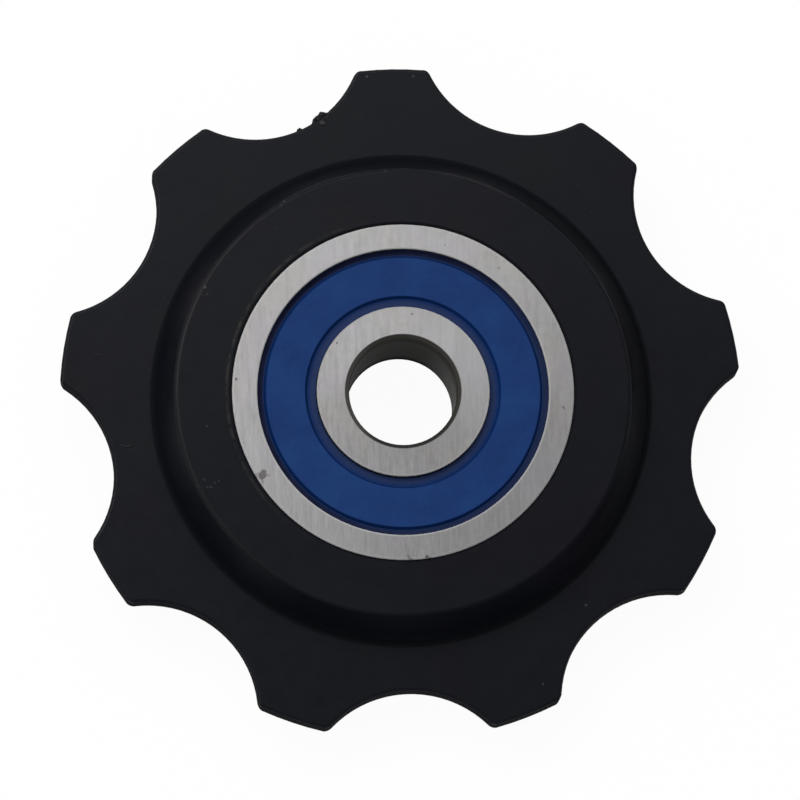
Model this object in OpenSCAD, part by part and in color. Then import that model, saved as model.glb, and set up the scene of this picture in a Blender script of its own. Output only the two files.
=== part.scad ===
// Chain guide roller: a nine-tooth moulded plastic wheel on a sealed 6 x 19 x 6 mm ball bearing.
// The origin is the centre of the bore in the middle of the width. The axle runs along Z, and one
// tooth points along +Y. All sizes are in millimetres.

/* [Toothed wheel] */
// Number of teeth
tooth_count = 9; // [7:1:11]
// Height of the teeth over the bottom of the valleys
tooth_h = 2.6; // [2:0.1:3.2]
// Radius of the round valley between two teeth
valley_r = 6.1; // [4.5:0.1:6.8]
// Thickness of the web and of the teeth
web_t = 1.4; // [1:0.1:2.4]
// Width of the flat web between the boss and the bottom of the valleys
web_w = 2.6; // [1.5:0.05:5]
// Rounding of the tooth edges towards both faces
tooth_edge_r = 0.2; // [0.1:0.05:0.45]
// Rounding of the two corners of each tooth tip
tip_corner_r = 0.8; // [0.2:0.05:1]

/* [Boss of the wheel] */
// Width of the boss face round the bearing
boss_wall = 3.15; // [2:0.05:5]
// How far the sloped boss wall runs outwards on its way down to the web
boss_flare = 1.2; // [0.5:0.05:2]
// Rounding of the boss edge
boss_edge_r = 0.3; // [0.2:0.05:0.8]
// Fillet between the boss wall and the web
boss_fillet_r = 0.2; // [0.2:0.05:0.8]
// Chamfer of the seat's mouth round the bearing
seat_chamfer = 0.15; // [0.05:0.05:0.2]

/* [Bearing rings] */
// Bore that the axle bolt passes through
bore_d = 6; // [5:0.1:7]
// Outside diameter of the bearing, also the seat in the wheel
ring_od = 19; // [17:0.1:22]
// Width of the bearing and of the boss
bearing_w = 6; // [5.4:0.1:6.8]
// Radial gap between the two rings beside the balls
shoulder_gap = 2.2; // [1.8:0.1:2.6]
// Step of the inner ring from its widest part down to the land that the seal's lip runs on
inner_step = 0.35; // [0.2:0.05:0.5]
// Step of the outer ring from its narrowest part out to the land beside the seal
outer_step = 0.75; // [0.5:0.05:0.9]
// Chamfer of the bore
bore_chamfer = 0.25; // [0.1:0.05:0.4]
// Chamfer of the outer ring's outside corners
ring_chamfer = 0.1; // [0.1:0.05:0.3]
// Chamfer of the ring edges next to the seals
land_chamfer = 0.05; // [0.02:0.01:0.08]

/* [Balls and cage] */
// Number of balls
ball_count = 6; // [5:1:7]
// Radius of a ball track as a share of the ball diameter
track_ratio = 0.52; // [0.51:0.005:0.54]
// Running clearance between a ball and the bottom of each track
ball_gap = 0.02; // [0.01:0.01:0.04]
// Thickness of the pressed cage strip
cage_t = 0.25; // [0.15:0.01:0.3]
// Radial width of the cage strip
cage_w = 1.3; // [1:0.1:1.6]
// Clearance between a ball and its cage pocket
pocket_gap = 0.06; // [0.03:0.01:0.1]
// Axial clearance between the cage and a seal
cage_seal_gap = 0.17; // [0.1:0.01:0.3]
// Shank diameter of the cage rivets
rivet_d = 0.6; // [0.4:0.05:0.7]
// Diameter of a rivet head
rivet_head_d = 1; // [0.8:0.05:1.2]
// Height of a rivet head
rivet_head_h = 0.22; // [0.15:0.01:0.3]

/* [Seals] */
// How deep a seal's edge sits in the groove of the outer ring
seal_bite = 0.35; // [0.2:0.05:0.5]
// Width of the seal's rim between the outer ring's land and the raised band
seal_rim_w = 0.475; // [0.3:0.025:0.8]
// Width of the seal's lip between the inner ring's land and the raised band
seal_lip_w = 0.65; // [0.4:0.05:0.9]
// Depth of the raised band below the bearing's face
band_recess = 0.2; // [0.1:0.05:0.25]
// Height of the raised band over the seal's rim and lip
band_h = 0.22; // [0.1:0.01:0.25]
// Thickness of a seal at its rim and lip
seal_t = 0.35; // [0.25:0.01:0.4]
// Width of the sloped edges of the raised band
band_slope = 0.12; // [0.05:0.01:0.2]
// Running clearance between a seal's lip and the inner ring
lip_gap = 0.05; // [0.03:0.01:0.1]
// Axial clearance between a seal and the inner ring's shoulder
seal_side_gap = 0.1; // [0.05:0.01:0.15]

/* [Hidden] */

$fn = 96;
// Small overrun that keeps a cutter clear of the face that it cuts through
over = 0.5;

half_w = bearing_w / 2;
half_web = web_t / 2;
seat_r = ring_od / 2;
// The wheel grows outwards from its seat: boss face, boss wall, web and teeth
boss_top_r = seat_r + boss_wall;
boss_base_r = boss_top_r + boss_flare;
root_r = boss_base_r + web_w;
tip_r = root_r + tooth_h;
tooth_pitch = 360 / tooth_count;
// Angle of the first tooth from the X axis
first_tooth = 90;
// Distance from the axis to a valley's centre
valley_c = root_r + valley_r;

// Heights of the seal's band, rim and underside, and of the inner ring's shoulder
band_z = half_w - band_recess;
rim_z = band_z - band_h;
seal_z = rim_z - seal_t;
shoulder_z = seal_z - seal_side_gap;

// The balls run midway between the bore and the outside, as large as the cage and the seals allow
pitch_r = (bore_d + ring_od) / 4;
pocket_r = seal_z - cage_seal_gap - cage_t;
ball_r = pocket_r - pocket_gap;
ball_pitch = 360 / ball_count;
// Angle of the first ball from the X axis
first_ball = 90;
track_r = 2 * ball_r * track_ratio;
inner_track_c = pitch_r - ball_r - ball_gap + track_r;
outer_track_c = pitch_r + ball_r + ball_gap - track_r;

// The rings, the seals and the cage lie on both sides of the circle of the balls
inner_shoulder_r = pitch_r - shoulder_gap / 2;
outer_shoulder_r = pitch_r + shoulder_gap / 2;
inner_land_r = inner_shoulder_r - inner_step;
outer_land_r = outer_shoulder_r + outer_step;
seal_r = outer_land_r + seal_bite;
band_outer_r = outer_land_r - seal_rim_w;
band_inner_r = inner_land_r + seal_lip_w;
cage_inner_r = pitch_r - cage_w / 2;
cage_outer_r = pitch_r + cage_w / 2;

plastic = [0.13, 0.13, 0.15];
ring_steel = [0.72, 0.71, 0.70];
cage_steel = [0.60, 0.58, 0.54];
rubber = [0.10, 0.24, 0.55];

// Unit vector from one point towards another
function toward(from, to) = (to - from) / norm(to - from);

// Angle at the axis between a valley's centre line and a point that lies at radius r and at
// distance d from the valley's centre
function valley_angle(r, d) = acos((r * r + valley_c * valley_c - d * d) / (2 * r * valley_c));

// Point at radius r and angle a
function polar(r, a) = [r * cos(a), r * sin(a)];

// Outline of a whole section from the points of its half above the middle of the width
function mirrored(points) = [
    each points,
    for (n = [len(points) - 1 : -1 : 0]) [points[n].x, -points[n].y]
];

// Half of the angle at the corner p between its sides to a and b
function half_angle(p, a, b) = acos(toward(p, a) * toward(p, b)) / 2;

// Where an arc of radius r that rounds the corner p meets the side to a
function arc_end(p, a, b, r) = p + toward(p, a) * r / tan(half_angle(p, a, b));

// Centre of the arc of radius r that rounds the corner p
function arc_center(p, a, b, r) =
    p + toward([0, 0], toward(p, a) + toward(p, b)) * r / sin(half_angle(p, a, b));

// What is cut from an outer corner p, with sides to a and b, to round it with radius r. It
// reaches past both sides by a share of the radius.
module corner_cutter(p, a, b, r) {
    c = arc_center(p, a, b, r);
    grow = 1.3;
    translate(c) difference() {
        polygon([
            [0, 0],
            (arc_end(p, a, b, r) - c) * grow,
            (p - c) * grow,
            (arc_end(p, b, a, r) - c) * grow
        ]);
        circle(r);
    }
}

// A shape that is drawn above the middle of the width, and its mirror image below
module both_sides() {
    children();
    mirror([0, 1]) children();
}

// Section of the wheel before the valleys are cut: seat, boss, web and rounded rim
module wheel_section() {
    face = [seat_r + seat_chamfer, half_w];
    top = [boss_top_r, half_w];
    base = [boss_base_r, half_web];
    rim = [tip_r, half_web];
    difference() {
        polygon(mirrored([
            [seat_r, half_w - seat_chamfer],
            face,
            top,
            arc_end(base, top, rim, boss_fillet_r),
            arc_end(base, rim, top, boss_fillet_r),
            rim
        ]));
        both_sides() {
            corner_cutter(top, face, base, boss_edge_r);
            corner_cutter(rim, base, [tip_r, 0], tooth_edge_r);
            translate(arc_center(base, top, rim, boss_fillet_r)) circle(boss_fillet_r);
        }
    }
}

// Cutter of one valley, turned about its own axis. Its flared ends round the tooth edges.
module valley_cutter() {
    rotate_extrude() union() {
        translate([0, -half_web - over]) square([valley_r, web_t + 2 * over]);
        both_sides() difference() {
            translate([0, half_web - tooth_edge_r])
                square([valley_r + tooth_edge_r, tooth_edge_r + over]);
            translate([valley_r + tooth_edge_r, half_web - tooth_edge_r]) circle(tooth_edge_r);
        }
    }
}

// Cutter that rounds the corner between a valley on the +X axis and the tip on one side of it.
// Its arc lies a little short of a full fillet, so it crosses both faces and doesn't graze them.
module tip_corner_cutter() {
    full_fillet = 0.8;
    corner = polar(tip_r, valley_angle(tip_r, valley_r));
    from_tip = toward([0, 0], corner);
    from_valley = toward(corner, [valley_c, 0]);
    out = toward([0, 0], from_tip + from_valley);
    depth = full_fillet * tip_corner_r * (1 / (out * from_tip) - 1);
    size = 2 * tip_corner_r;
    translate([0, 0, -half_web - over]) linear_extrude(web_t + 2 * over)
        translate(corner - out * (tip_corner_r + depth)) difference() {
            polygon([[0, 0], from_tip * size, (from_tip + from_valley) * size, from_valley * size]);
            circle(tip_corner_r);
        }
}

module toothed_wheel() {
    color(plastic) difference() {
        rotate_extrude() wheel_section();
        for (n = [0 : tooth_count - 1])
            rotate(first_tooth + (n + 0.5) * tooth_pitch) {
                translate([valley_c, 0]) valley_cutter();
                tip_corner_cutter();
                mirror([0, 1]) tip_corner_cutter();
            }
    }
}

// Ring with a ball track, a stepped land for the seals and chamfered corners
module outer_ring() {
    color(ring_steel) rotate_extrude() difference() {
        polygon(mirrored([
            [seat_r, half_w - ring_chamfer],
            [seat_r - ring_chamfer, half_w],
            [outer_land_r + land_chamfer, half_w],
            [outer_land_r, half_w - land_chamfer],
            [outer_land_r, rim_z],
            [seal_r, rim_z],
            [seal_r, seal_z],
            [outer_shoulder_r, seal_z]
        ]));
        translate([outer_track_c, 0]) circle(track_r);
    }
}

// Ring with a ball track whose shoulders rise from the lands at 45 degrees
module inner_ring() {
    bore = bore_d / 2;
    color(ring_steel) rotate_extrude() difference() {
        polygon(mirrored([
            [inner_shoulder_r, shoulder_z - inner_step],
            [inner_land_r, shoulder_z],
            [inner_land_r, half_w - land_chamfer],
            [inner_land_r - land_chamfer, half_w],
            [bore + bore_chamfer, half_w],
            [bore, half_w - bore_chamfer]
        ]));
        translate([inner_track_c, 0]) circle(track_r);
    }
}

// One rubber seal, lying towards +Z: rim in the outer ring's groove, raised band and thin lip
module seal() {
    lip = inner_land_r + lip_gap;
    color(rubber) rotate_extrude() polygon([
        [lip, seal_z],
        [seal_r, seal_z],
        [seal_r, rim_z],
        [band_outer_r + band_slope, rim_z],
        [band_outer_r, band_z],
        [band_inner_r, band_z],
        [band_inner_r - band_slope, rim_z],
        [lip, rim_z]
    ]);
}

module seal_front() {
    seal();
}

module seal_rear() {
    mirror([0, 0, 1]) seal();
}

module at_balls() {
    for (n = [0 : ball_count - 1])
        rotate(first_ball + n * ball_pitch) translate([pitch_r, 0]) children();
}

module at_rivets() {
    rotate(ball_pitch / 2) at_balls() children();
}

// One half of the pressed cage: a flat strip that bulges into a round pocket over each ball
module cage_half() {
    reach = pocket_r + cage_t;
    color(cage_steel) difference() {
        intersection() {
            union() {
                cylinder(h = cage_t, r = cage_outer_r + over);
                at_balls() sphere(reach);
            }
            rotate_extrude()
                translate([cage_inner_r, 0]) square([cage_w, reach + over]);
        }
        at_balls() sphere(pocket_r);
        at_rivets() translate([0, 0, -over]) cylinder(h = cage_t + 2 * over, d = rivet_d);
    }
}

module cage_front() {
    cage_half();
}

module cage_rear() {
    mirror([0, 0, 1]) cage_half();
}

// Section of one rivet: a shank through both strips and a domed head on each side
module rivet_section() {
    // Radius of the sphere that a head is a cap of
    dome_r = (pow(rivet_head_d / 2, 2) + pow(rivet_head_h, 2)) / (2 * rivet_head_h);
    translate([0, -cage_t]) square([rivet_d / 2, 2 * cage_t]);
    both_sides() intersection() {
        translate([0, cage_t]) square([rivet_head_d / 2, rivet_head_h]);
        translate([0, cage_t + rivet_head_h - dome_r]) circle(dome_r);
    }
}

module cage_rivets() {
    color(cage_steel) at_rivets() rotate_extrude() rivet_section();
}

module ball(n) {
    color(ring_steel) rotate(first_ball + (n - 1) * ball_pitch)
        translate([pitch_r, 0]) sphere(ball_r);
}

toothed_wheel();
outer_ring();
inner_ring();
seal_front();
seal_rear();
cage_front();
cage_rear();
cage_rivets();
for (n = [1 : ball_count])
    ball(n);
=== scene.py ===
"""Looks of the chain guide roller: materials, small moulding flaws, dust, lights and the camera."""

import math

import bmesh
import bpy
from mathutils import Matrix, Vector, noise


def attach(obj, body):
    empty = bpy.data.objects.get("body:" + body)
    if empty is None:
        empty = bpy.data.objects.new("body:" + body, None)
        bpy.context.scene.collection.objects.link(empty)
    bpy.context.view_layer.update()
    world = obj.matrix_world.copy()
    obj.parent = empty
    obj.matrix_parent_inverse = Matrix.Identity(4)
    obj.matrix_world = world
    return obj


MM = 0.001

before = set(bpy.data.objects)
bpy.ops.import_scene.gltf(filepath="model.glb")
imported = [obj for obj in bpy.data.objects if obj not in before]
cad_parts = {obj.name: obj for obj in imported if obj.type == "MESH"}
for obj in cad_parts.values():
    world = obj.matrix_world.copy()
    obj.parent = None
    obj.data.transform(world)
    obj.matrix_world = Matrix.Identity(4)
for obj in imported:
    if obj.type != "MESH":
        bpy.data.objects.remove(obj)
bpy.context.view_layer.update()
bpy.context.scene.view_settings.view_transform = "Standard"

# Sizes that the CAD source gives, in metres
HALF_W = 3.0 * MM
WEB_Z = 0.7 * MM
ROOT_R = 16.45 * MM
VALLEY_R = 6.1 * MM

# Slope at which the flat faces fall a little towards their outer edge
CROWN = 0.045


# Node helpers
class Nodes:
    """A material's node tree with short calls for the nodes used here.

    Noise scales are per metre. Radii, spots and their sizes are in millimetres."""

    def __init__(self, name):
        self.material = bpy.data.materials.new(name)
        self.material.use_nodes = True
        self.tree = self.material.node_tree
        self.tree.nodes.clear()
        self.output = self.tree.nodes.new("ShaderNodeOutputMaterial")
        self.shader = self.tree.nodes.new("ShaderNodeBsdfPrincipled")
        self.link(self.shader.outputs[0], self.output.inputs[0])
        self.coords = self.tree.nodes.new("ShaderNodeTexCoord").outputs["Object"]
        self.crumbs = None

    def link(self, a, b):
        self.tree.links.new(a, b)

    def put(self, node, key, value):
        """Sets or links one input of a node."""
        socket = node.inputs[key]
        if isinstance(value, bpy.types.NodeSocket):
            self.link(value, socket)
        else:
            socket.default_value = value

    def set(self, **values):
        """Sets or links inputs of the shader; a space in a name is written as _."""
        for key, value in values.items():
            self.put(self.shader, key.replace("_", " "), value)

    def math(self, kind, a, b=0.0, clamp=False):
        n = self.tree.nodes.new("ShaderNodeMath")
        n.operation = kind
        n.use_clamp = clamp
        self.put(n, 0, a)
        self.put(n, 1, b)
        return n.outputs[0]

    def times(self, first, *others):
        """Product of two or more values."""
        for value in others:
            first = self.math("MULTIPLY", first, value)
        return first

    def largest(self, first, *others):
        """Largest of two or more values."""
        for value in others:
            first = self.math("MAXIMUM", first, value)
        return first

    def mapping(self, scale=(1, 1, 1), location=(0, 0, 0), rotation=(0, 0, 0)):
        n = self.tree.nodes.new("ShaderNodeMapping")
        self.link(self.coords, n.inputs["Vector"])
        n.inputs["Scale"].default_value = scale
        n.inputs["Location"].default_value = location
        n.inputs["Rotation"].default_value = rotation
        return n.outputs[0]

    def noise(self, scale, detail=3.0, roughness=0.55, vector=None, w=None):
        """Noise from 0 to 1; another w gives another noise of the same scale."""
        n = self.tree.nodes.new("ShaderNodeTexNoise")
        if w is not None:
            n.noise_dimensions = "4D"
            n.inputs["W"].default_value = w
        self.link(vector or self.coords, n.inputs["Vector"])
        n.inputs["Scale"].default_value = scale
        n.inputs["Detail"].default_value = detail
        n.inputs["Roughness"].default_value = roughness
        return n.outputs["Fac"]

    def ramp(self, factor, *stops):
        """Colour ramp from (place, colour) stops."""
        n = self.tree.nodes.new("ShaderNodeValToRGB")
        self.put(n, 0, factor)
        elements = n.color_ramp.elements
        while len(elements) < len(stops):
            elements.new(0.5)
        for element, (place, colour) in zip(elements, stops):
            element.position = place
            element.color = (*colour, 1.0)
        return n.outputs[0]

    def range(self, value, lo, hi, to_lo=0.0, to_hi=1.0, smooth=False):
        n = self.tree.nodes.new("ShaderNodeMapRange")
        if smooth:
            n.interpolation_type = "SMOOTHSTEP"
        self.put(n, "Value", value)
        self.put(n, "From Min", lo)
        self.put(n, "From Max", hi)
        self.put(n, "To Min", to_lo)
        self.put(n, "To Max", to_hi)
        return n.outputs[0]

    def mix(self, factor, a, b):
        """Colour a where the factor is 0, and colour b where it is 1."""
        n = self.tree.nodes.new("ShaderNodeMix")
        n.data_type = "RGBA"
        self.link(factor, n.inputs[0])
        for key, colour in ((6, a), (7, b)):
            if isinstance(colour, bpy.types.NodeSocket):
                self.link(colour, n.inputs[key])
            else:
                n.inputs[key].default_value = (*colour, 1.0)
        return n.outputs[2]

    def bump(self, height, distance, strength=1.0, normal=None):
        n = self.tree.nodes.new("ShaderNodeBump")
        self.put(n, "Height", height)
        n.inputs["Distance"].default_value = distance
        n.inputs["Strength"].default_value = strength
        if normal:
            self.link(normal, n.inputs["Normal"])
        return n.outputs[0]

    def split(self, vector):
        n = self.tree.nodes.new("ShaderNodeSeparateXYZ")
        self.link(vector, n.inputs[0])
        return n.outputs[0], n.outputs[1], n.outputs[2]

    def length(self, x, y):
        return self.math("SQRT", self.math("ADD", self.times(x, x), self.times(y, y)))

    def radius(self):
        """Distance from the axle, in metres."""
        x, y, _ = self.split(self.coords)
        return self.length(x, y)

    def height(self):
        """Distance from the middle of the width towards the front, in metres."""
        return self.split(self.coords)[2]

    def dished(self):
        """Normal of a face that falls a little towards its outer edge."""
        return self.bump(self.times(self.radius(), -CROWN), 1.0)

    def front_only(self):
        """1 on the side of +Z, and 0 on the other side."""
        return self.range(self.height(), 0.1 * MM, 0.5 * MM)

    def off(self, value, middle):
        """How far a value is from the middle, either way."""
        return self.math("ABSOLUTE", self.math("SUBTRACT", value, middle))

    def side(self, azimuth, opposite=0.0, towards=1.0, near=60.0, far=150.0):
        """One value on the side of the axle towards an azimuth, another on the opposite side.

        The first holds up to near degrees from the azimuth, the second from far degrees on."""
        x, y, _ = self.split(self.coords)
        a = math.radians(azimuth)
        along = self.math("ADD", self.times(x, math.cos(a)), self.times(y, math.sin(a)))
        cosine = self.math("DIVIDE", along, self.radius())
        lo, hi = math.cos(math.radians(far)), math.cos(math.radians(near))
        return self.range(cosine, lo, hi, opposite, towards, smooth=True)

    def at_radius(self, middle, inner, outer, strength=1.0):
        """A ring-shaped mask round the axle: its middle, and its inner and outer half width."""
        away = self.off(self.radius(), middle * MM)
        return self.range(away, inner * MM, outer * MM, strength, 0.0, smooth=True)

    def spot(self, x, y, inner, outer, ragged, stretch=1.0, turn=0.0, strength=1.0):
        """The strength inside a small ragged spot at x, y, and 0 outside it.

        The spot is stretched along the direction at turn degrees."""
        px, py, _ = self.split(self.mapping(location=(-x * MM, -y * MM, 0)))
        c, s = math.cos(math.radians(turn)), math.sin(math.radians(turn))
        along = self.math("ADD", self.times(px, c), self.times(py, s))
        along = self.math("DIVIDE", along, stretch)
        across = self.math("SUBTRACT", self.times(py, c), self.times(px, s))
        if self.crumbs is None:
            self.crumbs = self.math("SUBTRACT", self.noise(4200, 2.0), 0.5)
        away = self.math("ADD", self.length(along, across), self.times(self.crumbs, ragged * MM))
        return self.range(away, inner * MM, outer * MM, strength, 0.0, smooth=True)

    def spots(self, rows):
        """All spots of a table, on the front only."""
        return self.times(self.largest(*[self.spot(*row) for row in rows]), self.front_only())


# Colours of the wheel's plastic, of what lies on it, of its marks and of the highlights and shade painted
# on it
PLASTIC_TEAL = (0.0016, 0.0026, 0.0050)
PLASTIC_BLACK = (0.0020, 0.0024, 0.0056)
PLASTIC_WARM = (0.0027, 0.0026, 0.0053)
PLASTIC_GREENISH = (0.0018, 0.0036, 0.0048)
PLASTIC_SCUFFED = (0.0038, 0.0040, 0.0070)
DUST_GREY = (0.050, 0.052, 0.056)
MOUTH_HIGHLIGHT = (0.0230, 0.0220, 0.0200)
BOSS_EDGE_HIGHLIGHT = (0.0085, 0.0085, 0.0095)
FOOT_MATTE = (0.0056, 0.0060, 0.0076)
WALL_LIT_RIGHT = (0.0080, 0.0084, 0.0096)
TOOTH_WALL = (0.0052, 0.0055, 0.0074)

# Where those marks and the painted highlights and shade lie round the axle, in millimetres
MOUTH_R = 9.80
HIGHLIT_EDGE_R = 12.56
SHADED_EDGE_R = 12.62
LOWER_WALL_R = 13.06
RIGHT_WALL_R = 13.30
FOOT_R = 13.85

# Pale dust on the wheel: x and y in millimetres, radius in millimetres, strength
DUST = (
    (-10.86, 6.10, 0.085, 0.95),
    (-10.75, 5.70, 0.060, 0.45),
    (-11.02, 5.62, 0.050, 0.35),
    (-10.92, -1.77, 0.060, 0.60),
    (-10.77, -5.20, 0.060, 0.55),
    (-10.96, -5.19, 0.060, 0.40),
    (-11.53, -5.11, 0.070, 0.40),
    (-11.14, -4.77, 0.080, 0.30),
    (-10.56, -4.97, 0.060, 0.30),
    (-10.34, -4.85, 0.060, 0.28),
    (-6.35, 10.93, 0.070, 0.60),
    (-6.52, 10.70, 0.055, 0.40),
    (-0.66, 12.55, 0.055, 0.45),
    (-1.42, 18.60, 0.080, 0.80),
    (1.18, 18.58, 0.070, 0.65),
    (9.92, -11.84, 0.060, 0.80),
    (7.39, -16.22, 0.060, 0.60),
)
# Share of a speck's radius at which it starts to fade, the share at which it ends, and its raggedness
DUST_CORE = 0.35
DUST_END = 1.5
DUST_RAGGED = 0.06


def wheel_dust(m):
    """Sparse pale specks everywhere, and the larger ones of the table."""
    specks = m.noise(5200, 1.0, 0.4, w=3.1)
    patches = m.noise(260, 2.0, 0.5, w=7.7)
    sparse = m.times(m.range(specks, 0.765, 0.80), m.range(patches, 0.54, 0.66, 0.0, 0.5))
    rows = []
    for x, y, size, strength in DUST:
        rows.append((x, y, DUST_CORE * size, DUST_END * size, DUST_RAGGED, 1.0, 0.0, strength))
    return m.largest(sparse, m.spots(rows))


def wheel_plastic():
    m = Nodes("wheel_plastic")
    cloud = m.noise(130, 2.0, 0.5)
    tint = m.noise(210, 2.0, 0.5, w=5.5)
    fine = m.noise(900, 4.0, 0.6)
    grain = m.noise(9000, 2.0, 0.6)
    base = m.ramp(cloud, (0.30, PLASTIC_TEAL), (0.50, PLASTIC_BLACK), (0.72, PLASTIC_WARM))
    base = m.mix(m.range(tint, 0.40, 0.68, 0.0, 0.55), base, PLASTIC_GREENISH)
    base = m.mix(m.range(fine, 0.35, 0.75, 0.0, 0.30), base, PLASTIC_SCUFFED)
    base = m.mix(wheel_dust(m), base, DUST_GREY)
    # the seat's mouth round the bearing gets a ragged painted highlight on the left, where its rim faces
    # the light
    ragged = m.range(m.noise(2100, 3.0, 0.6, w=8.3), 0.40, 0.62)
    mouth_lit = m.times(m.at_radius(MOUTH_R, 0.03, 0.11), ragged, m.side(165.0, 0.04, 1.0, 20.0, 72.0))
    base = m.mix(mouth_lit, base, MOUTH_HIGHLIGHT)
    # the boss edge gets a painted highlight on the left, and the foot of the boss is a little lighter and
    # dull
    edge_lit = m.times(m.at_radius(HIGHLIT_EDGE_R, 0.04, 0.14), m.side(200.0, 0.0, 0.6, 20.0, 80.0))
    base = m.mix(edge_lit, base, BOSS_EDGE_HIGHLIGHT)
    foot = m.at_radius(FOOT_R, 0.08, 0.26, 0.9)
    base = m.mix(foot, base, FOOT_MATTE)
    # the boss wall gets painted light on the right, and is dulled on the lower right as painted shade
    lit_wall = m.times(m.at_radius(RIGHT_WALL_R, 0.25, 0.55), m.side(12.0, 0.0, 0.7, 30.0, 68.0))
    base = m.mix(lit_wall, base, WALL_LIT_RIGHT)
    lower = m.times(m.at_radius(LOWER_WALL_R, 0.36, 0.62), m.side(-72.0, 0.0, 0.75, 35.0, 85.0))
    # the walls of the teeth are dull too, and the top of the boss edge is dulled as painted shade that
    # takes away its highlight
    wall = m.range(m.off(m.height(), 0.0), 0.52 * MM, 0.67 * MM, 1.0, 0.0)
    base = m.mix(m.times(wall, 0.8), base, TOOTH_WALL)
    shaded_edge = m.times(m.at_radius(SHADED_EDGE_R, 0.06, 0.16), m.side(70.0, 0.0, 0.15, 40.0, 100.0))
    dull = m.largest(wall, foot, shaded_edge, lower)
    m.set(
        Base_Color=base,
        Roughness=m.largest(m.range(fine, 0.3, 0.7, 0.36, 0.46), m.times(dull, 0.85)),
        Specular_IOR_Level=m.range(dull, 0.0, 1.0, 0.14, 0.02),
        Normal=m.bump(grain, 0.00001, 0.5, m.bump(fine, 0.00003, 0.35, m.dished())),
    )
    return m.material


# Torn plastic in its folds and where it stands proud, held darker below the web's face as painted shade
TORN_DARK = (0.0022, 0.0025, 0.0040)
TORN_PALE = (0.052, 0.050, 0.056)


def torn_plastic():
    """The wheel's plastic where it is torn, paler where it stands over the web's face, and darker below
    it as painted shade.
    """
    m = Nodes("torn_plastic")
    crumbs = m.noise(3600, 3.0, 0.65, w=2.2)
    creases = m.noise(5200, 2.0, 0.5, w=4.8)
    proud = m.range(m.height(), 0.64 * MM, 0.76 * MM)
    pale = m.times(m.range(crumbs, 0.34, 0.62), m.largest(proud, 0.22))
    m.set(
        Base_Color=m.mix(pale, TORN_DARK, TORN_PALE),
        Roughness=m.range(crumbs, 0.3, 0.7, 0.50, 0.70),
        Specular_IOR_Level=m.range(creases, 0.42, 0.58, 0.02, 0.15),
        Normal=m.bump(crumbs, 0.00004, 0.5),
    )
    return m.material


# Ground steel: three shades along its grain, patches and a painted highlight along an edge
STEEL_DARK = (0.345, 0.34, 0.335)
STEEL_MIDDLE = (0.375, 0.37, 0.365)
STEEL_LIGHT = (0.41, 0.405, 0.40)
STEEL_WARM = (0.385, 0.362, 0.345)
STEEL_DULL = (0.315, 0.308, 0.306)
STEEL_CLEAN = (0.435, 0.430, 0.428)
STEEL_LILAC = (0.385, 0.370, 0.392)
STEEL_EDGE_HIGHLIGHT = (0.44, 0.45, 0.48)
RUST_PALE = (0.150, 0.112, 0.104)
RUST_DARK = (0.056, 0.036, 0.034)

# Rust on the rings, lengths in millimetres:
# x, y, inner radius, outer radius, raggedness, stretch, turn in degrees, strength
OUTER_RING_STAINS = (
    (-7.90, -4.56, 0.17, 0.33, 0.14, 1.2, 70.0, 1.0),
    (-7.60, -4.60, 0.04, 0.20, 0.10, 1.3, 0.0, 0.75),
    (-8.21, -4.58, 0.04, 0.18, 0.10, 1.4, 60.0, 0.8),
    (-7.92, -4.93, 0.03, 0.15, 0.08, 2.2, 105.0, 0.75),
    (8.89, -1.13, 0.02, 0.12, 0.10, 1.6, 120.0, 1.0),
    (0.01, -9.30, 0.04, 0.15, 0.10, 1.2, 110.0, 0.9),
    (0.14, -9.45, 0.03, 0.14, 0.08, 1.5, 0.0, 0.7),
    (1.04, -9.34, 0.04, 0.14, 0.10, 1.2, 60.0, 0.9),
    (1.20, -9.42, 0.03, 0.12, 0.08, 1.5, 0.0, 0.7),
    (5.53, 6.89, 0.01, 0.08, 0.08, 1.0, 0.0, 1.0),
    (2.56, 8.25, 0.01, 0.08, 0.08, 1.0, 0.0, 1.0),
    (-9.25, 0.85, 0.03, 0.13, 0.12, 1.0, 0.0, 1.0),
)
INNER_RING_STAINS = (
    (0.61, 4.36, 0.01, 0.09, 0.08, 1.0, 0.0, 1.0),
    (-3.61, 2.79, 0.01, 0.08, 0.08, 1.0, 0.0, 1.0),
)

# Chamfers of the rings' faces: radius in millimetres, shade
OUTER_RING_CHAMFERS = ((9.45, 0.52), (8.125, 0.40))
INNER_RING_CHAMFERS = ((4.775, 0.37),)
# Radius of each ring's edge beside the seal, in millimetres, and direction of its grain in degrees
OUTER_RING_EDGE = 8.10
INNER_RING_EDGE = 4.80
OUTER_RING_GRAIN = 12.0
INNER_RING_GRAIN = 3.0


def steel_grain(m, angle_deg):
    """Fine parallel scratches of a ground face."""
    lines = m.mapping(scale=(1, 0.09, 1), rotation=(0, 0, math.radians(angle_deg)))
    coarse = m.noise(5200, 3.0, 0.6, vector=lines)
    fine = m.noise(15000, 2.0, 0.6, vector=lines)
    return m.math("ADD", m.times(coarse, 0.6), m.times(fine, 0.4))


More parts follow.
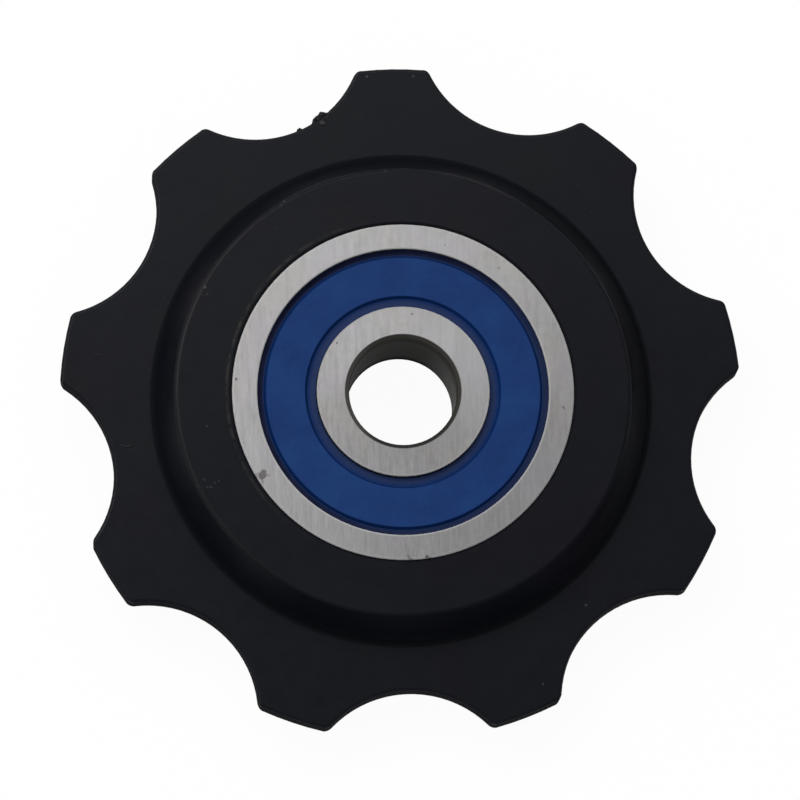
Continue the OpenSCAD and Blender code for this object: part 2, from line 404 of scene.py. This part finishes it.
def ground_steel(m, grain_deg, edge_r, chamfers, stains):
    """Colour, metal share and roughness of a ring's ground faces, and its bump.

    The face has a painted highlight along the edge at edge_r, the chamfers are matte, each with its
    radius and its shade, and each stain is a ragged spot of rust. Radii are in millimetres."""
    grain = steel_grain(m, grain_deg)
    mottle = m.noise(2300, 3.0, 0.6, w=1.3)
    warm = m.noise(420, 2.0, 0.5, w=4.2)
    lilac = m.noise(340, 2.0, 0.5, w=6.1)
    base = m.ramp(grain, (0.30, STEEL_DARK), (0.50, STEEL_MIDDLE), (0.70, STEEL_LIGHT))
    base = m.mix(m.range(warm, 0.40, 0.64, 0.0, 0.5), base, STEEL_WARM)
    base = m.mix(m.range(mottle, 0.50, 0.72, 0.0, 0.45), base, STEEL_DULL)
    base = m.mix(m.range(mottle, 0.46, 0.30, 0.0, 0.40), base, STEEL_CLEAN)
    base = m.mix(m.range(lilac, 0.46, 0.62, 0.0, 0.6), base, STEEL_LILAC)
    base = m.mix(m.at_radius(edge_r, 0.02, 0.10, 0.55), base, STEEL_EDGE_HIGHLIGHT)
    metal = 1.0
    corner = m.range(m.off(m.height(), 0.0), 2.89 * MM, 2.93 * MM)
    for radius, shade in chamfers:
        matte = m.times(m.at_radius(radius, 0.045, 0.075), corner)
        base = m.mix(matte, base, (shade, 0.985 * shade, 0.965 * shade))
        metal = m.math("SUBTRACT", metal, matte, clamp=True)
    crumbs = m.range(m.noise(4200, 3.0, 0.7, w=9.0), 0.30, 0.54, 0.45, 1.0)
    rust = m.times(m.spots(stains), crumbs)
    base = m.mix(rust, base, m.ramp(crumbs, (0.50, RUST_PALE), (0.95, RUST_DARK)))
    rough = m.math("ADD", m.range(grain, 0.3, 0.7, 0.30, 0.42), m.times(rust, 0.4), clamp=True)
    return base, metal, rough, m.bump(grain, 0.000004, 0.6, m.dished())


# The outer ring's face gets a painted highlight on the lower left and painted shade on the lower right
OUTER_RING_HIGHLIGHT = (0.50, 0.49, 0.495)
OUTER_RING_SHADED = (0.27, 0.268, 0.27)


def outer_ring_steel():
    m = Nodes("outer_ring_steel")
    base, metal, rough, normal = ground_steel(
        m, OUTER_RING_GRAIN, OUTER_RING_EDGE, OUTER_RING_CHAMFERS, OUTER_RING_STAINS
    )
    base = m.mix(m.side(-145.0, 0.0, 0.35, 10.0, 55.0), base, OUTER_RING_HIGHLIGHT)
    base = m.mix(m.side(-40.0, 0.0, 0.30, 10.0, 60.0), base, OUTER_RING_SHADED)
    m.set(Base_Color=base, Metallic=metal, Roughness=rough, Normal=normal)
    return m.material


# The inner ring's face is brighter on the right, and its bore is painted dark as shade
INNER_RING_BRIGHT = (0.50, 0.50, 0.50)
BORE_SHADE_DARK = (0.044, 0.042, 0.038)
BORE_SHADE_LIGHT = (0.058, 0.056, 0.053)
BORE_REFLECTION = (0.160, 0.156, 0.152)
BORE_DARK_BAND = (0.012, 0.011, 0.009)
BORE_REAR_SHADE = (0.010, 0.010, 0.010)
CHAMFER_MIDDLE = (0.048, 0.045, 0.039)
CHAMFER_SHADED = (0.031, 0.030, 0.027)
CHAMFER_HIGHLIGHT = (0.080, 0.077, 0.070)
# Azimuth of the side of the bore that gets a painted reflection of the lamp deep down, in degrees
BORE_LIT_SIDE = 8.0


def inner_ring_steel():
    m = Nodes("inner_ring_steel")
    base, metal, rough, normal = ground_steel(
        m, INNER_RING_GRAIN, INNER_RING_EDGE, INNER_RING_CHAMFERS, INNER_RING_STAINS
    )
    base = m.mix(m.side(15.0, 0.0, 0.35, 15.0, 70.0), base, INNER_RING_BRIGHT)
    # the bore is painted dark and made dull as shade, with a painted reflection of the lamp deep down on
    # the right
    bore_shading = m.ramp(m.noise(500, 3.0), (0.3, BORE_SHADE_DARK), (0.7, BORE_SHADE_LIGHT))
    z = m.height()
    right = m.times(m.side(BORE_LIT_SIDE, 0.0, 1.0, 15.0, 55.0), m.range(z, 2.2 * MM, -0.5 * MM))
    bore_shading = m.mix(right, bore_shading, BORE_REFLECTION)
    # a darker band is painted just inside the front chamfer, and the rear end is painted darkest as shade
    dark_band = m.range(m.off(z, 2.45 * MM), 0.25 * MM, 0.65 * MM, 0.75, 0.0, smooth=True)
    bore_shading = m.mix(dark_band, bore_shading, BORE_DARK_BAND)
    rear = m.times(m.range(z, -1.5 * MM, -2.6 * MM), m.side(BORE_LIT_SIDE, 1.0, 0.0, 25.0, 60.0))
    bore_shading = m.mix(rear, bore_shading, BORE_REAR_SHADE)
    # the chamfer is painted lighter, most of all on the left as a highlight, and darker towards azimuth
    # -90 as shade
    chamfer = m.range(m.radius(), 3.01 * MM, 3.05 * MM)
    chamfer_shading = m.mix(m.side(-90.0, 0.0, 1.0, 30.0, 90.0), CHAMFER_MIDDLE, CHAMFER_SHADED)
    chamfer_shading = m.mix(m.side(180.0, 0.0, 1.0, 20.0, 70.0), chamfer_shading, CHAMFER_HIGHLIGHT)
    bore_shading = m.mix(chamfer, bore_shading, chamfer_shading)
    bore = m.range(m.radius(), 3.20 * MM, 3.27 * MM, 1.0, 0.0, smooth=True)
    sheen = m.times(m.range(rear, 0.0, 1.0, 0.012, 0.0), m.range(chamfer, 0.0, 1.0, 1.0, 0.0))
    m.set(
        Base_Color=m.mix(bore, base, bore_shading),
        Metallic=m.math("MINIMUM", metal, m.range(bore, 0.0, 1.0, 1.0, 0.0)),
        Roughness=m.largest(rough, m.times(bore, 0.6)),
        Specular_IOR_Level=m.range(bore, 0.0, 1.0, 0.5, sheen),
        Normal=normal,
    )
    return m.material


# The seal's blue rubber, the film on its lip, and the shade painted on its rim and in its grooves
RUBBER_DEEP = (0.0020, 0.0245, 0.1200)
RUBBER_BLUE = (0.0028, 0.0330, 0.1460)
RUBBER_LIGHT = (0.0046, 0.0400, 0.1560)
LIP_FILM = (0.0105, 0.0265, 0.0940)
RIM_SHADE_DARK = (0.0020, 0.0050, 0.0260)
RIM_SHADE_BROWN = (0.0090, 0.0120, 0.0440)
RIM_LIT = (0.0120, 0.0240, 0.0750)
GROOVE_SHADE = (0.0006, 0.0040, 0.0420)
# Radii of the grooves on both sides of the band, in millimetres
INNER_GROOVE_R = 5.30
OUTER_GROOVE_R = 7.67


def seal_rubber():
    m = Nodes("seal_rubber")
    cloud = m.noise(420, 3.0, 0.5, w=2.0)
    fine = m.noise(2600, 3.0, 0.6)
    base = m.ramp(cloud, (0.30, RUBBER_DEEP), (0.55, RUBBER_BLUE), (0.75, RUBBER_LIGHT))
    # the lip holds a grey film, the rim is painted a dark brownish shade that is lighter towards the
    # lower right, and both grooves beside the band are painted darker as shade
    r = m.radius()
    lip = m.range(r, 5.12 * MM, 5.24 * MM, 1.0, 0.0, smooth=True)
    base = m.mix(lip, base, LIP_FILM)
    rim = m.range(r, 7.68 * MM, 7.86 * MM, 0.0, 1.0, smooth=True)
    rim_shade = m.ramp(m.noise(700, 3.0, 0.6, w=6.4), (0.35, RIM_SHADE_DARK), (0.65, RIM_SHADE_BROWN))
    rim_shade = m.mix(m.side(-30.0, 0.0, 0.7, 40.0, 110.0), rim_shade, RIM_LIT)
    base = m.mix(rim, base, rim_shade)
    inner_groove = m.at_radius(INNER_GROOVE_R, 0.06, 0.22, 0.38)
    outer_groove = m.at_radius(OUTER_GROOVE_R, 0.03, 0.13, 0.40)
    dark = m.largest(inner_groove, outer_groove)
    base = m.mix(dark, base, GROOVE_SHADE)
    ripples = m.bump(m.noise(1500, 3.0, 0.55, w=3.3), 0.00006, 0.5)
    m.set(
        Base_Color=base,
        Roughness=m.range(fine, 0.3, 0.7, 0.40, 0.52),
        Specular_IOR_Level=m.range(m.largest(dark, rim), 0.0, 1.0, 0.15, 0.08),
        Normal=m.bump(fine, 0.00002, 0.35, ripples),
    )
    return m.material


def cage_steel():
    m = Nodes("cage_steel")
    grain = m.noise(2600, 3.0, 0.6)
    m.set(
        Base_Color=m.ramp(grain, (0.3, (0.36, 0.34, 0.31)), (0.7, (0.50, 0.48, 0.44))),
        Metallic=1.0,
        Roughness=m.range(grain, 0.3, 0.7, 0.32, 0.45),
        Normal=m.bump(grain, 0.00001, 0.4),
    )
    return m.material


def ball_steel():
    m = Nodes("ball_steel")
    haze = m.noise(1400, 2.0, 0.5)
    m.set(
        Base_Color=m.ramp(haze, (0.3, (0.70, 0.70, 0.71)), (0.7, (0.78, 0.78, 0.79))),
        Metallic=1.0,
        Roughness=m.range(haze, 0.3, 0.7, 0.06, 0.12),
    )
    return m.material


def lint():
    m = Nodes("lint")
    m.set(
        Base_Color=m.ramp(m.noise(3000), (0.3, (0.016, 0.018, 0.021)), (0.7, (0.026, 0.028, 0.032))),
        Roughness=0.7,
        Specular_IOR_Level=0.2,
    )
    return m.material


def dress(material, nodes):
    """Gives CAD nodes their material."""
    for node in nodes:
        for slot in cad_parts[node].material_slots:
            slot.material = material


dress(wheel_plastic(), ["toothed_wheel"])
dress(outer_ring_steel(), ["outer_ring"])
dress(inner_ring_steel(), ["inner_ring"])
dress(seal_rubber(), ["seal_front", "seal_rear"])
dress(cage_steel(), ["cage_front", "cage_rear", "cage_rivets"])
dress(ball_steel(), [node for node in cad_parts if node.startswith("ball_")])


# Burrs and the crumb that the moulding gate left in the upper left valley
VALLEY_ANGLE = math.radians(110.0)
VALLEY_CENTRE = Vector((math.cos(VALLEY_ANGLE), math.sin(VALLEY_ANGLE), 0)) * (ROOT_R + VALLEY_R)

torn = torn_plastic()


def smooth_through(knots, place):
    """Height at a place of a curve that runs smoothly through (place, height) knots."""
    for (a, low), (b, high) in zip(knots, knots[1:]):
        if place <= b:
            t = (place - a) / (b - a)
            t = t * t * (3 - 2 * t)
            return low + (high - low) * t
    return knots[-1][1]


def lump(name, top_at, foot_at, along, across):
    """Closed skin of a small lump on the wheel, over a grid of along by across cells.

    Two functions of the grid's shares u and v give a point of its top and the point of its foot below."""
    bm = bmesh.new()
    top, foot = [], []
    for i in range(along + 1):
        for j in range(across + 1):
            top.append(bm.verts.new(top_at(i / along, j / across)))
            foot.append(bm.verts.new(foot_at(i / along, j / across)))
    row = across + 1
    for i in range(along):
        for j in range(across):
            a = i * row + j
            bm.faces.new((top[a], top[a + 1], top[a + row + 1], top[a + row]))
            bm.faces.new((foot[a], foot[a + row], foot[a + row + 1], foot[a + 1]))
    edge = [i * row for i in range(along + 1)]
    edge += [along * row + j for j in range(1, row)]
    edge += [i * row + across for i in range(along - 1, -1, -1)]
    edge += [j for j in range(across - 1, 0, -1)]
    for a, b in zip(edge, edge[1:] + edge[:1]):
        bm.faces.new((top[a], top[b], foot[b], foot[a]))
    bmesh.ops.recalc_face_normals(bm, faces=bm.faces)
    mesh = bpy.data.meshes.new(name)
    bm.to_mesh(mesh)
    bm.free()
    mesh.shade_smooth()
    mesh.materials.append(torn)
    piece = bpy.data.objects.new(name, mesh)
    bpy.context.scene.collection.objects.link(piece)
    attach(piece, "roller")


# How far a burr's rim and foot lie in the wheel, how far its back edge wavers, and how rough its top is
BURR_RIM = 0.06 * MM
BURR_FOOT = 0.16 * MM
BURR_WAVER = 0.22 * MM
BURR_ROUGH = 0.06 * MM
# How far a burr's sides drift round the valley, in degrees
BURR_DRIFT = 0.7
BURR_GRID = (44, 26)


def burr(name, start, end, knots, back, front, seed):
    """Torn ridge on a valley's wall.

    It runs between two angles in degrees round the valley's centre and from back to front across the
    web, and its knots give how far it stands out. Its foot is sunk in the wheel."""

    def place(u, v, radius):
        drift = BURR_DRIFT * noise.noise(Vector((2.6 * v, seed, 0.4)))
        angle = math.radians(start + (end - start) * u + drift)
        at = VALLEY_CENTRE + Vector((math.cos(angle), math.sin(angle), 0)) * radius
        waver = BURR_WAVER * noise.noise(Vector((3.0 * u, seed, 1.7))) * (1 - v)
        return at.x, at.y, back + waver + (front - back) * v

    def top_at(u, v):
        bulge = math.sin(math.pi * v ** 1.4) ** 0.6
        rough = noise.fractal(Vector((u * 4.2, v * 3.1, seed)), 0.8, 2.0, 3) * BURR_ROUGH
        return place(u, v, VALLEY_R + BURR_RIM - (smooth_through(knots, u) + rough + BURR_RIM) * bulge)

    def foot_at(u, v):
        return place(u, v, VALLEY_R + BURR_FOOT)

    lump(name, top_at, foot_at, *BURR_GRID)


# How far the crumb's edge and foot lie in the web
CRUMB_EDGE = 0.03 * MM
CRUMB_FOOT = 0.12 * MM
CRUMB_GRID = (24, 20)


def crumb(name, x, y, length, width, turn, height, seed):
    """Torn crumb that sticks to the web's front face at x, y, turned by an angle in degrees."""
    c, s = math.cos(math.radians(turn)), math.sin(math.radians(turn))

    def place(u, v):
        """Point of the grid's square, drawn in to a disc, and its distance from the middle."""
        a, b = 2 * u - 1, 2 * v - 1
        p, q = a * math.sqrt(1 - b * b / 2), b * math.sqrt(1 - a * a / 2)
        ragged = 1 + 0.3 * noise.noise(Vector((1.4 * p, 1.4 * q, seed)))
        px, py = p * ragged * length / 2, q * ragged * width / 2
        return x + c * px - s * py, y + s * px + c * py, math.hypot(p, q)

    def top_at(u, v):
        px, py, out = place(u, v)
        rough = 1 + 0.8 * noise.fractal(Vector((u * 3.0, v * 3.0, seed)), 0.8, 2.0, 3)
        rise = (height * rough + CRUMB_EDGE) * max(0.0, 1 - out * out) ** 0.6
        return px, py, WEB_Z - CRUMB_EDGE + rise

    def foot_at(u, v):
        px, py, _ = place(u, v)
        return px, py, WEB_Z - CRUMB_FOOT

    lump(name, top_at, foot_at, *CRUMB_GRID)


GATE_BURR = (
    (0, -0.05 * MM),
    (0.09, 0.04 * MM),
    (0.26, 0.22 * MM),
    (0.52, 0.25 * MM),
    (0.78, 0.30 * MM),
    (1, -0.05 * MM),
)
SMALL_BURR = (
    (0, -0.05 * MM),
    (0.30, 0.15 * MM),
    (0.55, 0.14 * MM),
    (0.75, 0.06 * MM),
    (1, -0.05 * MM),
)
burr("gate_burr", -60.4, -48.6, GATE_BURR, -0.30 * MM, 0.66 * MM, 2.7)
burr("small_burr", -68.8, -64.0, SMALL_BURR, -0.20 * MM, 0.62 * MM, 5.1)
crumb("gate_crumb", -3.97 * MM, 15.95 * MM, 0.46 * MM, 0.34 * MM, 35.0, 0.09 * MM, 1.9)


# Fibres of lint: points along each and its thickness, in millimetres
FIBRE_1 = ((-15.72, -2.30), (-15.46, -2.36), (-15.22, -2.44), (-15.10, -2.36), (-15.03, -2.26))
FIBRE_2 = ((-17.28, 2.88), (-17.10, 2.93), (-16.92, 2.88), (-16.74, 2.82))
# Height of a fibre's middle over the web, as a share of its thickness
FIBRE_LIFT = 0.4


def fibre(name, points, thickness, material):
    """Short hair that lies on the web's front face."""
    curve = bpy.data.curves.new(name, "CURVE")
    curve.dimensions = "3D"
    curve.bevel_depth = thickness * MM / 2
    curve.bevel_resolution = 3
    curve.use_fill_caps = True
    line = curve.splines.new("NURBS")
    line.points.add(len(points) - 1)
    line.use_endpoint_u = True
    line.order_u = 4
    for knot, (x, y) in zip(line.points, points):
        knot.co = (x * MM, y * MM, WEB_Z + FIBRE_LIFT * thickness * MM, 1)
    curve.materials.append(material)
    piece = bpy.data.objects.new(name, curve)
    bpy.context.scene.collection.objects.link(piece)
    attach(piece, "roller")


hair = lint()
fibre("fibre_1", FIBRE_1, 0.07, hair)
fibre("fibre_2", FIBRE_2, 0.05, hair)


# Camera fitted to the photo: distance, angle from the axle, azimuth and roll
CAM_DISTANCE = 340.16 * MM
CAM_THETA = math.radians(11.737)
CAM_PSI = math.radians(-104.196)
CAM_ROLL = math.radians(-1.65)
# Focal length, the axle's place beside the frame's middle, and the frame, in pixels
FOCAL_PX = 6084.4
AIM_PX = (0.86, 1.74)
PHOTO_PX = 800
SENSOR_MM = 36.0
CLIP_START = 0.01
CLIP_END = 20


def place_camera():
    d = Vector(
        (
            math.sin(CAM_THETA) * math.cos(CAM_PSI),
            math.sin(CAM_THETA) * math.sin(CAM_PSI),
            math.cos(CAM_THETA),
        )
    )
    forward = -d
    right = forward.cross(Vector((0, 1, 0))).normalized()
    up = right.cross(forward)
    c, s = math.cos(CAM_ROLL), math.sin(CAM_ROLL)
    right, up = c * right + s * up, -s * right + c * up
    aim = (forward - right * AIM_PX[0] / FOCAL_PX + up * AIM_PX[1] / FOCAL_PX).normalized()
    right = (right - aim * right.dot(aim)).normalized()
    up = right.cross(aim)
    data = bpy.data.cameras.new("camera")
    data.sensor_width = SENSOR_MM
    data.lens = FOCAL_PX * SENSOR_MM / PHOTO_PX
    data.clip_start = CLIP_START
    data.clip_end = CLIP_END
    obj = bpy.data.objects.new("camera", data)
    bpy.context.scene.collection.objects.link(obj)
    rotation = Matrix((right, up, -aim)).transposed().to_4x4()
    obj.matrix_world = Matrix.Translation(d * CAM_DISTANCE) @ rotation
    bpy.context.scene.camera = obj


place_camera()


# Floor: half its side, its gap under the part, its colour and how much of it is plain white to the eye
FLOOR_HALF = 3.0
FLOOR_GAP = 0.02 * MM
FLOOR_COLOUR = (0.97, 0.97, 0.97, 1)
FLOOR_WHITE = 0.955
# World: colour and strength of its light
WORLD_COLOUR = (0.97, 0.98, 1.0, 1)
WORLD = 0.5
# Softboxes round the object: name, azimuth and height in degrees, side in metres, watts
LIGHTS = (
    ("key", 135.0, 50.0, 0.30, 1.36),
    ("top", 80.0, 50.0, 0.30, 0.60),
    ("side", 180.0, 50.0, 0.30, 0.33),
)
LIGHT_DISTANCE = 0.6


def white_to_the_eye(tree, surface, share):
    """Mixes a shader with plain white for camera, glossy and transmission rays."""
    path = tree.nodes.new("ShaderNodeLightPath")
    seen = path.outputs["Is Camera Ray"]
    for name in ("Is Glossy Ray", "Is Transmission Ray"):
        n = tree.nodes.new("ShaderNodeMath")
        n.operation = "MAXIMUM"
        tree.links.new(seen, n.inputs[0])
        tree.links.new(path.outputs[name], n.inputs[1])
        seen = n.outputs[0]
    part = tree.nodes.new("ShaderNodeMath")
    part.operation = "MULTIPLY"
    tree.links.new(seen, part.inputs[0])
    part.inputs[1].default_value = share
    white = tree.nodes.new("ShaderNodeEmission")
    white.inputs["Strength"].default_value = 1.0
    mix = tree.nodes.new("ShaderNodeMixShader")
    tree.links.new(part.outputs[0], mix.inputs[0])
    tree.links.new(surface, mix.inputs[1])
    tree.links.new(white.outputs[0], mix.inputs[2])
    return mix.outputs[0]


def lay_floor():
    mesh = bpy.data.meshes.new("floor")
    h = FLOOR_HALF
    mesh.from_pydata([(-h, -h, 0), (h, -h, 0), (h, h, 0), (-h, h, 0)], [], [(0, 1, 2, 3)])
    floor = bpy.data.objects.new("floor", mesh)
    floor.location.z = -HALF_W - FLOOR_GAP
    bpy.context.scene.collection.objects.link(floor)
    material = bpy.data.materials.new("floor")
    material.use_nodes = True
    tree = material.node_tree
    shader = tree.nodes["Principled BSDF"]
    shader.inputs["Base Color"].default_value = FLOOR_COLOUR
    shader.inputs["Roughness"].default_value = 0.9
    shader.inputs["Specular IOR Level"].default_value = 0.0
    out = white_to_the_eye(tree, shader.outputs[0], FLOOR_WHITE)
    tree.links.new(out, tree.nodes["Material Output"].inputs[0])
    mesh.materials.append(material)


def light_world():
    world = bpy.data.worlds.new("world")
    bpy.context.scene.world = world
    world.use_nodes = True
    tree = world.node_tree
    tree.nodes.clear()
    path = tree.nodes.new("ShaderNodeLightPath")
    soft = tree.nodes.new("ShaderNodeBackground")
    soft.inputs["Color"].default_value = WORLD_COLOUR
    soft.inputs["Strength"].default_value = WORLD
    white = tree.nodes.new("ShaderNodeBackground")
    white.inputs["Strength"].default_value = 1.0
    mix = tree.nodes.new("ShaderNodeMixShader")
    out = tree.nodes.new("ShaderNodeOutputWorld")
    tree.links.new(path.outputs["Is Camera Ray"], mix.inputs[0])
    tree.links.new(soft.outputs[0], mix.inputs[1])
    tree.links.new(white.outputs[0], mix.inputs[2])
    tree.links.new(mix.outputs[0], out.inputs[0])


def softbox(name, azimuth, height, side, watts):
    """Square lamp that faces the origin."""
    a, h = math.radians(azimuth), math.radians(height)
    place = Vector((math.cos(a) * math.cos(h), math.sin(a) * math.cos(h), math.sin(h))) * LIGHT_DISTANCE
    data = bpy.data.lights.new(name, "AREA")
    data.shape = "RECTANGLE"
    data.size = side
    data.size_y = side
    data.energy = watts
    obj = bpy.data.objects.new(name, data)
    obj.location = place
    obj.rotation_euler = (-place).to_track_quat("-Z", "Y").to_euler()
    bpy.context.scene.collection.objects.link(obj)


lay_floor()
light_world()
for light in LIGHTS:
    softbox(*light)
